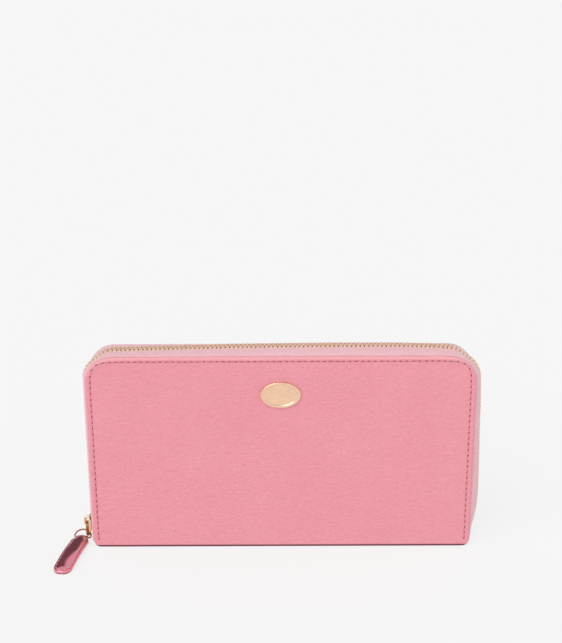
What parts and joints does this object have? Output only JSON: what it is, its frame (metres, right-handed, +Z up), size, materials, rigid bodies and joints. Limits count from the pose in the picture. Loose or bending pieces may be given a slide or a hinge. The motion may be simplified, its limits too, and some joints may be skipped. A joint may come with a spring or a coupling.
{
  "type": "zip around wallet",
  "caption": "Long zip-around leather wallet standing on its spine: two padded covers, a zip round three sides, card strips, bill compartments and a zipped coin pocket.",
  "frame": {"origin": "centre of the spine's underside, on the surface that the wallet stands on", "axes": "+Z up, +X to the right of someone facing the front cover, the front cover faces -Y"},
  "size_m": [0.2085, 0.0486, 0.1039],
  "materials": {
    "cover_leather": "fine-grained, soft sheen",
    "fold_leather": "fine-grained, folded",
    "zip_tape": "woven cotton tape",
    "lining": "smooth woven lining",
    "card_leather": "thin split leather",
    "board": "bonded leather board, matt",
    "teeth_metal": "pale gold plating",
    "slider_metal": "polished pale gold plating",
    "pull_metal": "polished warm gold plating",
    "emblem_metal": "satin pale gold plating",
    "tab_leather": "glossy, with painted edges"
  },
  "bodies": {
    "back_half": {"spine_leather": "fold_leather", "spine_lining": "lining", "back_cover_leather": "cover_leather", "back_board": "board", "back_lining": "lining", "back_card_strip_1": "card_leather", "back_card_strip_2": "card_leather", "back_card_strip_3": "card_leather", "back_zip_tape": "zip_tape", "back_zip_teeth": "teeth_metal", "back_zip_stop_left": "teeth_metal", "back_zip_stop_right": "teeth_metal", "back_gusset_left": "lining", "back_gusset_right": "lining"},
    "coin_pocket": {"coin_panel_front": "lining", "coin_panel_back": "lining", "coin_binding_bottom": "card_leather", "coin_binding_left": "card_leather", "coin_binding_right": "card_leather", "coin_zip_tape_front": "zip_tape", "coin_zip_tape_back": "zip_tape", "coin_zip_teeth_front": "teeth_metal", "coin_zip_teeth_back": "teeth_metal", "coin_zip_stop_left": "teeth_metal", "coin_zip_stop_right": "teeth_metal"},
    "front_half": {"front_cover_leather": "cover_leather", "front_board": "board", "front_lining": "lining", "front_card_strip_1": "card_leather", "front_card_strip_2": "card_leather", "front_card_strip_3": "card_leather", "front_zip_tape": "zip_tape", "front_zip_teeth": "teeth_metal", "front_zip_stop_left": "teeth_metal", "front_zip_stop_right": "teeth_metal", "front_gusset_left": "lining", "front_gusset_right": "lining", "emblem_plate": "emblem_metal", "emblem_backplate": "pull_metal"},
    "zip_slider": {"zip_slider": "slider_metal"},
    "pull_link": {"pull_link": "pull_metal"},
    "pull_ring": {"pull_ring": "pull_metal"},
    "pull_tab": {"pull_tab": "tab_leather"},
    "coin_slider": {"coin_slider": "slider_metal"},
    "coin_puller": {"coin_puller": "slider_metal"}
  },
  "joints": [
    {"name": "pocket_fan", "type": "hinge", "parent": "back_half", "child": "coin_pocket", "pos_m": [0, -0.0105, 0.0005], "axis": [1, 0, 0], "range_deg": [0, 25], "deforming": ["back_gusset_left", "back_gusset_right"]},
    {"name": "front_open", "type": "hinge", "parent": "coin_pocket", "child": "front_half", "pos_m": [0, -0.0105, 0.0005], "axis": [1, 0, 0], "range_deg": [0, 25], "deforming": ["front_gusset_left", "front_gusset_right"]},
    {"name": "zip_slide", "type": "slide", "parent": "back_half", "child": "zip_slider", "axis": [0, 0, 1], "range_m": [0, 0.072]},
    {"name": "link_swing", "type": "hinge", "parent": "zip_slider", "child": "pull_link", "pos_m": [-0.09845, 0, 0.00852], "axis": [0, 1, 0], "range_deg": [0, 120]},
    {"name": "ring_swing", "type": "hinge", "parent": "pull_link", "child": "pull_ring", "pos_m": [-0.09845, -0.00018, 0.00378], "axis": [-0.9895, 0.1444, 0], "range_deg": [0, 15]},
    {"name": "tab_swing", "type": "hinge", "parent": "pull_ring", "child": "pull_tab", "pos_m": [-0.1012, -0.0024, 0.0012], "axis": [-0.9895, 0.1444, 0], "range_deg": [0, 40]},
    {"name": "coin_zip_slide", "type": "slide", "parent": "coin_pocket", "child": "coin_slider", "axis": [1, 0, 0], "range_m": [0, 0.15]},
    {"name": "coin_puller_swing", "type": "hinge", "parent": "coin_slider", "child": "coin_puller", "pos_m": [-0.07366, 0, 0.0824], "axis": [0, -1, 0], "range_deg": [0, 60]}
  ],
  "couplings": [
    {"joint": "pocket_fan", "follows": "front_open", "ratio": 1}
  ]
}
